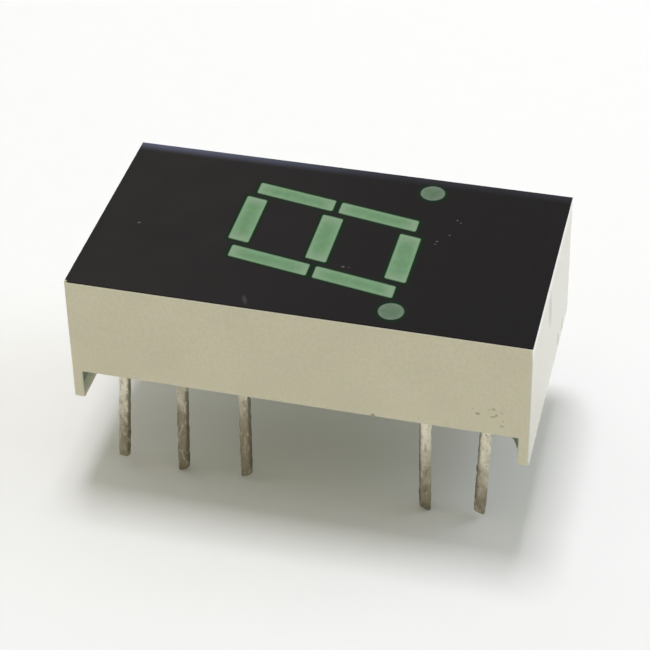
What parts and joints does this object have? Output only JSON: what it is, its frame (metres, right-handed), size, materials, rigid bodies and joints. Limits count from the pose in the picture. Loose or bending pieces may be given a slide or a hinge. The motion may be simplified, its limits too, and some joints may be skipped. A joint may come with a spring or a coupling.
{
  "type": "seven-segment led display",
  "caption": "Single-digit seven-segment light display: black face with tinted resin segments and decimal points in a moulded dual-in-line housing on tinned leads.",
  "frame": {"origin": "middle of the plane that the lead tips stand on, below the middle of the body", "axes": "+X along the body towards the bottom of the digit, +Y towards the digit's right side, +Z out of the front face"},
  "size_m": [0.019, 0.0104, 0.0101],
  "materials": {
    "housing": "satin moulded",
    "face_film": "satin",
    "segment_resin": "translucent satin",
    "point_resin": "translucent satin",
    "potting": "cast gloss",
    "lead_metal": "dull tinned",
    "die": "polished",
    "bond_wire": "drawn"
  },
  "bodies": {
    "root": {"housing": "housing", "face_film": "face_film", "potting": "potting", "segment_a": "segment_resin", "segment_b": "segment_resin", "segment_c": "segment_resin", "segment_d": "segment_resin", "segment_e": "segment_resin", "segment_f": "segment_resin", "segment_g": "segment_resin", "decimal_point_left": "point_resin", "decimal_point_right": "point_resin", "lead_1": "lead_metal", "lead_2": "lead_metal", "lead_6": "lead_metal", "lead_7": "lead_metal", "lead_8": "lead_metal", "lead_9": "lead_metal", "lead_10": "lead_metal", "lead_11": "lead_metal", "lead_13": "lead_metal", "common_frame": "lead_metal", "die_a": "die", "die_b": "die", "die_c": "die", "die_d": "die", "die_e": "die", "die_f": "die", "die_g": "die", "die_point_left": "die", "die_point_right": "die", "bond_wire_a": "bond_wire", "bond_wire_b": "bond_wire", "bond_wire_c": "bond_wire", "bond_wire_d": "bond_wire", "bond_wire_e": "bond_wire", "bond_wire_f": "bond_wire", "bond_wire_g": "bond_wire", "bond_wire_point_left": "bond_wire", "bond_wire_point_right": "bond_wire"}
  },
  "joints": []
}
